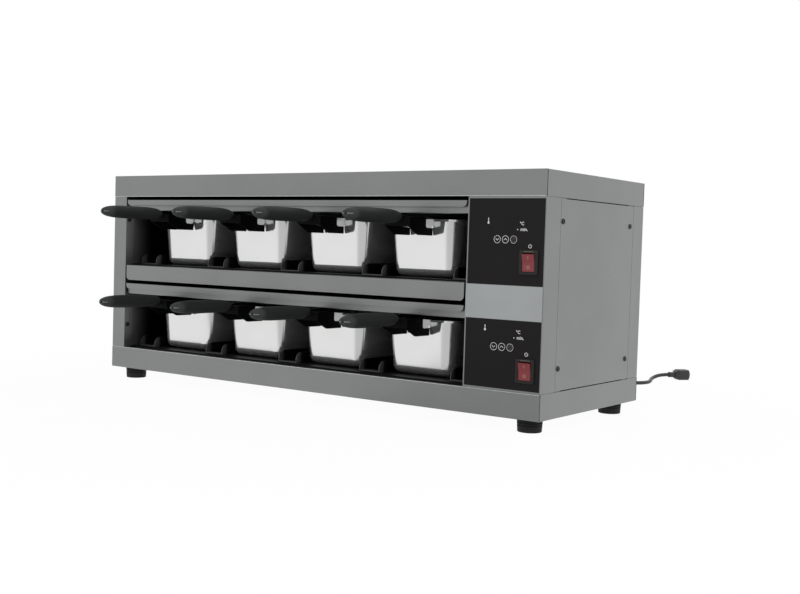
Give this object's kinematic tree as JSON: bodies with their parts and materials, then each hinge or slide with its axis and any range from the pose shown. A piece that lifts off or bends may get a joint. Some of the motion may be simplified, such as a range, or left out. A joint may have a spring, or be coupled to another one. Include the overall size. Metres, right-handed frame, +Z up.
{
  "type": "heated holding cabinet",
  "caption": "Stainless countertop heated holding cabinet with two rows of pull-out quarter-size pans, black handles and a control column.",
  "frame": {"origin": "on the floor, below the centre of the cabinet's bounding box without its cord", "axes": "+X to the cabinet's right, where the controls are; +Y to its rear; +Z up"},
  "size_m": [1.0032, 1.1333, 0.413],
  "materials": {
    "outer_steel": "satin brushed sheet",
    "inner_steel": "satin brushed sheet",
    "pan_steel": "mirror polished stainless",
    "screw_steel": "plain zinc-plated",
    "element_sheath": "dark oxidised sheath",
    "foot_rubber": "matt",
    "overlay_film": "matt film",
    "label_foil": "silver foil",
    "key_film": "matt film",
    "switch_plastic": "semi-gloss",
    "rocker_plastic": "translucent red",
    "board_plastic": "board laminate",
    "terminal_plastic": "moulded",
    "handle_plastic": "satin moulded",
    "gland_plastic": "moulded",
    "cord_rubber": "matt sheath",
    "plug_plastic": "moulded",
    "pin_brass": "plain"
  },
  "bodies": {
    "cabinet": {"top_cap": "outer_steel", "bottom_tray": "outer_steel", "left_side_panel": "outer_steel", "left_post": "outer_steel", "control_column": "outer_steel", "right_access_panel": "outer_steel", "rear_panel": "outer_steel", "panel_screws": "screw_steel", "left_liner": "inner_steel", "divider_wall": "inner_steel", "rear_liner": "inner_steel", "lower_shelf": "inner_steel", "upper_shelf": "inner_steel", "deck_plates": "inner_steel", "lower_heater_hood": "inner_steel", "upper_heater_hood": "inner_steel", "lower_heater_plate": "inner_steel", "upper_heater_plate": "inner_steel", "pan_guides": "inner_steel", "heating_elements": "element_sheath", "temperature_probes": "element_sheath", "feet": "foot_rubber", "foot_bolts": "screw_steel", "lower_control_overlay": "overlay_film", "upper_control_overlay": "overlay_film", "label_plate": "label_foil", "switch_housings": "switch_plastic", "lower_controller": "board_plastic", "upper_controller": "board_plastic", "terminal_block": "terminal_plastic", "cable_gland": "gland_plastic", "cord_to_coil": "cord_rubber", "cord_coil": "cord_rubber", "cord_to_plug": "cord_rubber", "plug": "plug_plastic", "plug_pins": "pin_brass"},
    "lower_drawer_1": {"lower_pan_1": "pan_steel", "lower_handle_1": "handle_plastic"},
    "lower_drawer_2": {"lower_pan_2": "pan_steel", "lower_handle_2": "handle_plastic"},
    "lower_drawer_3": {"lower_pan_3": "pan_steel", "lower_handle_3": "handle_plastic"},
    "lower_drawer_4": {"lower_pan_4": "pan_steel", "lower_handle_4": "handle_plastic"},
    "upper_drawer_1": {"upper_pan_1": "pan_steel", "upper_handle_1": "handle_plastic"},
    "upper_drawer_2": {"upper_pan_2": "pan_steel", "upper_handle_2": "handle_plastic"},
    "upper_drawer_3": {"upper_pan_3": "pan_steel", "upper_handle_3": "handle_plastic"},
    "upper_drawer_4": {"upper_pan_4": "pan_steel", "upper_handle_4": "handle_plastic"},
    "lower_down_button": {"lower_down_key": "key_film"},
    "lower_up_button": {"lower_up_key": "key_film"},
    "lower_timer_button": {"lower_timer_key": "key_film"},
    "upper_down_button": {"upper_down_key": "key_film"},
    "upper_up_button": {"upper_up_key": "key_film"},
    "upper_timer_button": {"upper_timer_key": "key_film"},
    "lower_rocker": {"lower_power_rocker": "rocker_plastic"},
    "upper_rocker": {"upper_power_rocker": "rocker_plastic"}
  },
  "joints": [
    {"name": "lower_drawer_1_slide", "type": "slide", "parent": "cabinet", "child": "lower_drawer_1", "axis": [0, -1, 0], "range_m": [0, 0.335]},
    {"name": "lower_drawer_2_slide", "type": "slide", "parent": "cabinet", "child": "lower_drawer_2", "axis": [0, -1, 0], "range_m": [0, 0.335]},
    {"name": "lower_drawer_3_slide", "type": "slide", "parent": "cabinet", "child": "lower_drawer_3", "axis": [0, -1, 0], "range_m": [0, 0.335]},
    {"name": "lower_drawer_4_slide", "type": "slide", "parent": "cabinet", "child": "lower_drawer_4", "axis": [0, -1, 0], "range_m": [0, 0.335]},
    {"name": "upper_drawer_1_slide", "type": "slide", "parent": "cabinet", "child": "upper_drawer_1", "axis": [0, -1, 0], "range_m": [0, 0.335]},
    {"name": "upper_drawer_2_slide", "type": "slide", "parent": "cabinet", "child": "upper_drawer_2", "axis": [0, -1, 0], "range_m": [0, 0.335]},
    {"name": "upper_drawer_3_slide", "type": "slide", "parent": "cabinet", "child": "upper_drawer_3", "axis": [0, -1, 0], "range_m": [0, 0.335]},
    {"name": "upper_drawer_4_slide", "type": "slide", "parent": "cabinet", "child": "upper_drawer_4", "axis": [0, -1, 0], "range_m": [0, 0.335]},
    {"name": "lower_down_press", "type": "slide", "parent": "cabinet", "child": "lower_down_button", "axis": [0, 1, 0], "range_m": [0, 0.0005], "stiffness_N_per_m": 2000},
    {"name": "lower_up_press", "type": "slide", "parent": "cabinet", "child": "lower_up_button", "axis": [0, 1, 0], "range_m": [0, 0.0005], "stiffness_N_per_m": 2000},
    {"name": "lower_timer_press", "type": "slide", "parent": "cabinet", "child": "lower_timer_button", "axis": [0, 1, 0], "range_m": [0, 0.0005], "stiffness_N_per_m": 2000},
    {"name": "upper_down_press", "type": "slide", "parent": "cabinet", "child": "upper_down_button", "axis": [0, 1, 0], "range_m": [0, 0.0005], "stiffness_N_per_m": 2000},
    {"name": "upper_up_press", "type": "slide", "parent": "cabinet", "child": "upper_up_button", "axis": [0, 1, 0], "range_m": [0, 0.0005], "stiffness_N_per_m": 2000},
    {"name": "upper_timer_press", "type": "slide", "parent": "cabinet", "child": "upper_timer_button", "axis": [0, 1, 0], "range_m": [0, 0.0005], "stiffness_N_per_m": 2000},
    {"name": "lower_rocker_tilt", "type": "hinge", "parent": "cabinet", "child": "lower_rocker", "pos_m": [0.4729, -0.1004, 0.0991], "axis": [-1, 0, 0], "range_deg": [0, 14]},
    {"name": "upper_rocker_tilt", "type": "hinge", "parent": "cabinet", "child": "upper_rocker", "pos_m": [0.4729, -0.1004, 0.2681], "axis": [-1, 0, 0], "range_deg": [0, 14]}
  ]
}
